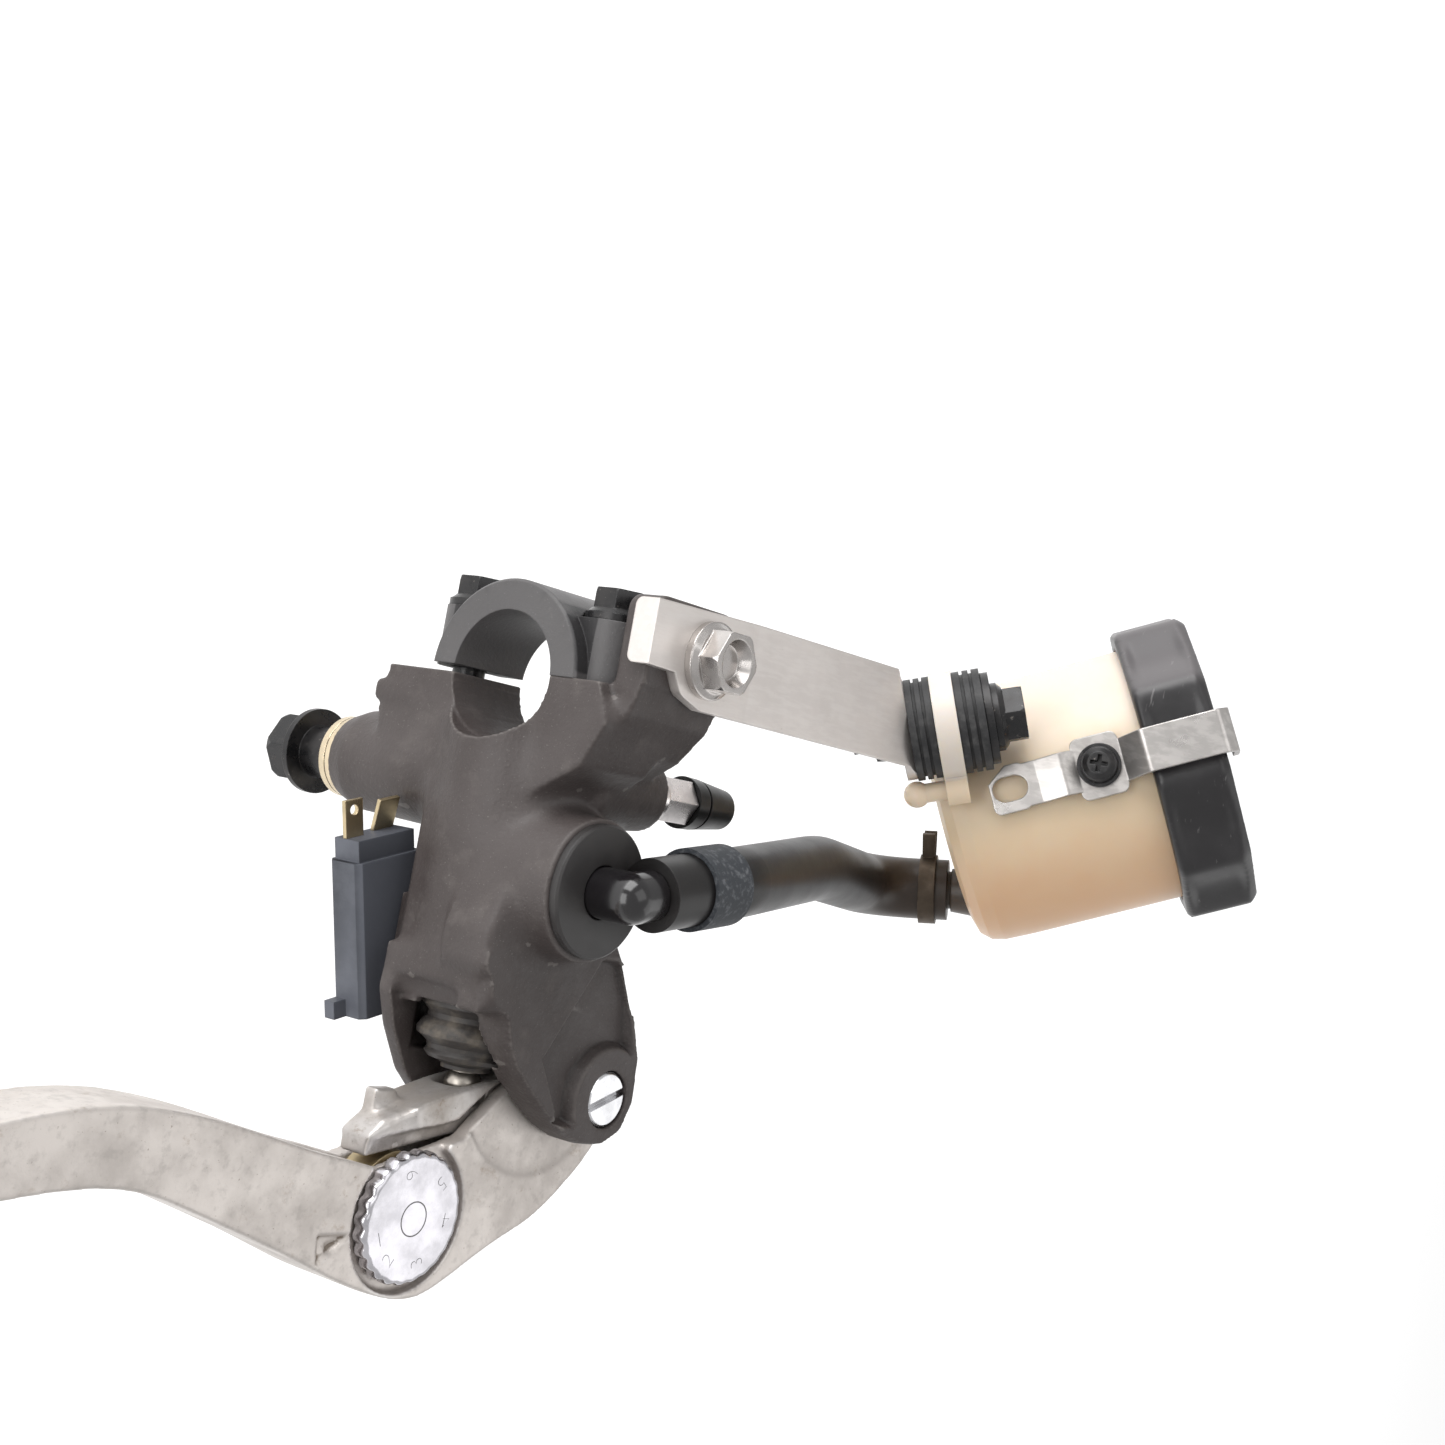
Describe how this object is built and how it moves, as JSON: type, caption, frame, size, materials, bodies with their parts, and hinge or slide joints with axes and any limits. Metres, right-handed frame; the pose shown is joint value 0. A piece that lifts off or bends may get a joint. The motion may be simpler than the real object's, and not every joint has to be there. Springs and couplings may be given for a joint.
{
  "type": "brake master cylinder",
  "caption": "Right-hand radial front brake master cylinder with handlebar clamp, adjustable two-piece lever, brake light switch and remote reservoir on a bracket.",
  "frame": {"origin": "centre of the handlebar clamp bore", "axes": "+X along the handlebar toward the lever tip, +Y along the cylinder bore from the handlebar to the lever pivot side, +Z along the lever pivot, the side the reservoir port opens on"},
  "size_m": [0.326, 0.1456, 0.1443],
  "materials": {
    "cast_body": "matte cast texture, dark warm grey",
    "clamp_grey": "matte dark grey",
    "lever_alloy": "worn satin",
    "knocker_alloy": "cast satin, dirty",
    "bracket_steel": "satin",
    "clip_steel": "satin",
    "bolt_plated": "bright zinc",
    "bolt_black": "black oxide, worn",
    "screw_black": "black oxide",
    "washer_gold": "bright",
    "pin_chrome": "polished",
    "dial_chrome": "satin face, polished rim",
    "cam_brass": "dull",
    "terminal_brass": "dull",
    "rubber_black": "matte",
    "rubber_worn": "worn matte",
    "hose_rubber": "satin",
    "boot_rubber": "dusty matte",
    "band_grey": "speckled",
    "clip_brown": "rusted dark",
    "elbow_plastic": "glossy",
    "cover_plastic": "matte",
    "reservoir_nylon": "translucent aged nylon",
    "cap_plastic": "satin, faded",
    "switch_plastic": "satin",
    "seal_rubber": "smooth",
    "spring_steel": "bright",
    "piston_alloy": "anodised",
    "rod_steel": "turned",
    "bush_bronze": "sintered"
  },
  "bodies": {
    "base": {"housing": "cast_body", "clamp_cap": "clamp_grey", "clamp_bolts": "bolt_black", "banjo_bolt": "bolt_black", "banjo_washers": "washer_gold", "bleeder_screw": "bolt_plated", "bleeder_cap": "rubber_black", "port_cover": "cover_plastic", "port_elbow": "elbow_plastic", "port_o_ring": "seal_rubber", "hose": "hose_rubber", "hose_band_clamp": "band_grey", "hose_spring_clip": "clip_brown", "reservoir_body": "reservoir_nylon", "diaphragm": "seal_rubber", "diaphragm_plate": "cover_plastic", "reservoir_bracket": "bracket_steel", "bracket_bolt": "bolt_plated", "grommet_inner": "rubber_worn", "grommet_outer": "rubber_worn", "grommet_collar": "spring_steel", "grommet_washer": "bolt_black", "grommet_bolt": "bolt_black", "grommet_nut": "bolt_black", "switch_body": "switch_plastic", "switch_terminals": "terminal_brass", "switch_screw": "screw_black", "return_spring": "spring_steel", "piston_washer": "spring_steel", "piston_circlip": "spring_steel", "dust_boot": "boot_rubber", "pivot_bolt": "pin_chrome", "pivot_nut": "bolt_black"},
    "lever": {"knocker": "knocker_alloy", "pivot_bush": "bush_bronze"},
    "blade": {"lever_blade": "lever_alloy", "detent_ball": "spring_steel", "detent_spring": "spring_steel"},
    "dial": {"adjuster_dial": "dial_chrome", "adjuster_cam": "cam_brass", "dial_clip": "spring_steel"},
    "piston": {"piston": "piston_alloy", "primary_cup": "seal_rubber", "secondary_cup": "seal_rubber", "push_rod": "rod_steel"},
    "plunger": {"switch_plunger": "elbow_plastic"},
    "cap": {"reservoir_cap": "cap_plastic"},
    "clip": {"cap_clip": "clip_steel", "clip_washer": "screw_black", "clip_screw": "screw_black"}
  },
  "joints": [
    {"name": "lever_squeeze", "type": "hinge", "parent": "base", "child": "lever", "pos_m": [-0.0225, 0.0703, 0], "axis": [0, 0, -1], "range_deg": [0, 16], "stiffness_Nm_per_rad": 2, "springref_deg": -5.73},
    {"name": "piston_stroke", "type": "slide", "parent": "base", "child": "piston", "axis": [0, -1, 0], "range_m": [0, 0.00656], "deforming": ["return_spring", "dust_boot"]},
    {"name": "switch_press", "type": "slide", "parent": "base", "child": "plunger", "axis": [-0.2807, 0.9598, 0], "range_m": [0, 0.0015]},
    {"name": "blade_reach", "type": "hinge", "parent": "lever", "child": "blade", "pos_m": [-0.0225, 0.0703, 0], "axis": [0, 0, -1], "range_deg": [0, 4]},
    {"name": "dial_turn", "type": "hinge", "parent": "blade", "child": "dial", "pos_m": [0.015, 0.0912, 0], "axis": [0, 0, -1], "range_deg": [0, 277]},
    {"name": "cap_turn", "type": "hinge", "parent": "base", "child": "cap", "pos_m": [-0.1106, 0.0102, 0.0226], "axis": [-0.3898, -0.4098, 0.8247], "range_deg": [0, 60]},
    {"name": "clip_off", "type": "slide", "parent": "base", "child": "clip", "axis": [0.9153, -0.0736, 0.3961], "range_m": [0, 0.008]}
  ],
  "couplings": [
    {"joint": "piston_stroke", "follows": "lever_squeeze", "m_per_rad": 0.023489},
    {"joint": "switch_press", "follows": "lever_squeeze", "m_per_rad": 0.0053709},
    {"joint": "blade_reach", "follows": "dial_turn", "ratio": 0.01444}
  ]
}
